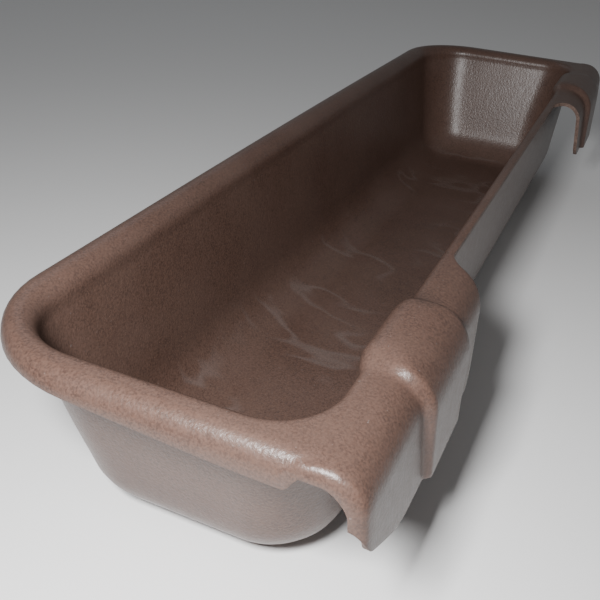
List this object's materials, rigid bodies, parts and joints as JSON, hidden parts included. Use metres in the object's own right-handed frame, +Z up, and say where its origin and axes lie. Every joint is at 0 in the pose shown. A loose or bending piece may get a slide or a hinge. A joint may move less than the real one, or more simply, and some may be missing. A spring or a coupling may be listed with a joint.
{
  "type": "hook-over trough feeder",
  "caption": "Deep moulded plastic trough with rounded ends, a rolled rim and ribbed saddle hooks that hang it over a board or rail.",
  "frame": {"origin": "centre of the footprint's bounding box, at the height of the ground under the floor", "axes": "+X along the trough, +Y from the open front towards the hooks, +Z up"},
  "size_m": [1.22, 0.352, 0.198],
  "materials": {
    "moulded_plastic": "warm brown thermoformed polyethylene with a fine leather grain, low sheen"
  },
  "bodies": {
    "root": {"trough_tub": "moulded_plastic", "rim_bead": "moulded_plastic", "back_lip": "moulded_plastic", "left_hook_outer_flank": "moulded_plastic", "left_hook_rib": "moulded_plastic", "left_hook_inner_flank": "moulded_plastic", "right_hook_outer_flank": "moulded_plastic", "right_hook_rib": "moulded_plastic", "right_hook_inner_flank": "moulded_plastic"}
  },
  "joints": []
}
